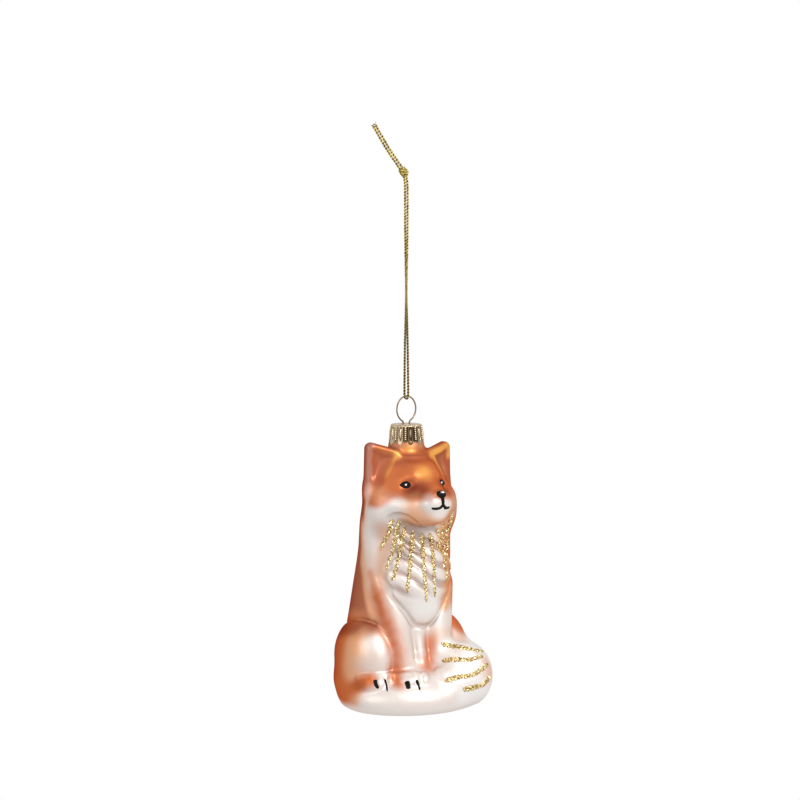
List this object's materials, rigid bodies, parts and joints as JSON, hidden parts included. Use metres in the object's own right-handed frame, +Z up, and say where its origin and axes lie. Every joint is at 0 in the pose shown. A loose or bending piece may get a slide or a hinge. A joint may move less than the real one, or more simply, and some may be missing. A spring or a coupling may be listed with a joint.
{
  "type": "hanging fox ornament",
  "caption": "Hollow glass ornament in the shape of a sitting fox, with a metal cap on its neck, a wire hanger ring and a knotted cord to hang it by.",
  "frame": {"origin": "hanging point, inside the cord loop just under its knot", "axes": "+Z up along the hanging cord and the neck's axis; the fox looks along -Y, its right side is -X"},
  "size_m": [0.061, 0.0541, 0.2226],
  "materials": {
    "lacquered_glass": "thin blown glass, silvered inside, satin orange and pearl white lacquer outside",
    "gold_cap": "bright stamped sheet",
    "hanger_wire": "champagne plated spring wire",
    "gold_cord": "metallic braid"
  },
  "bodies": {
    "cord_top": {"cord_knot": "gold_cord", "cord_end_left": "gold_cord", "cord_end_right": "gold_cord"},
    "cord_loop": {"cord_loop": "gold_cord"},
    "hanger": {"wire_hanger": "hanger_wire"},
    "cap": {"cap": "gold_cap"},
    "glass": {"glass_body": "lacquered_glass"}
  },
  "joints": [
    {"name": "cord_twist", "type": "hinge", "parent": "cord_top", "child": "cord_loop", "pos_m": [0, 0, 0], "axis": [0, 0, 1], "range_deg": [-180, 180]},
    {"name": "hanger_swing", "type": "hinge", "parent": "cord_loop", "child": "hanger", "pos_m": [0, 0, -0.0825], "axis": [0.9848, 0.1736, 0], "range_deg": [-90, 90]},
    {"name": "hanger_slide", "type": "slide", "parent": "hanger", "child": "cap", "axis": [0, 0, -1], "range_m": [0, 0.0035]},
    {"name": "cap_pull", "type": "slide", "parent": "cap", "child": "glass", "axis": [0, 0, -1], "range_m": [0, 0.024]}
  ]
}
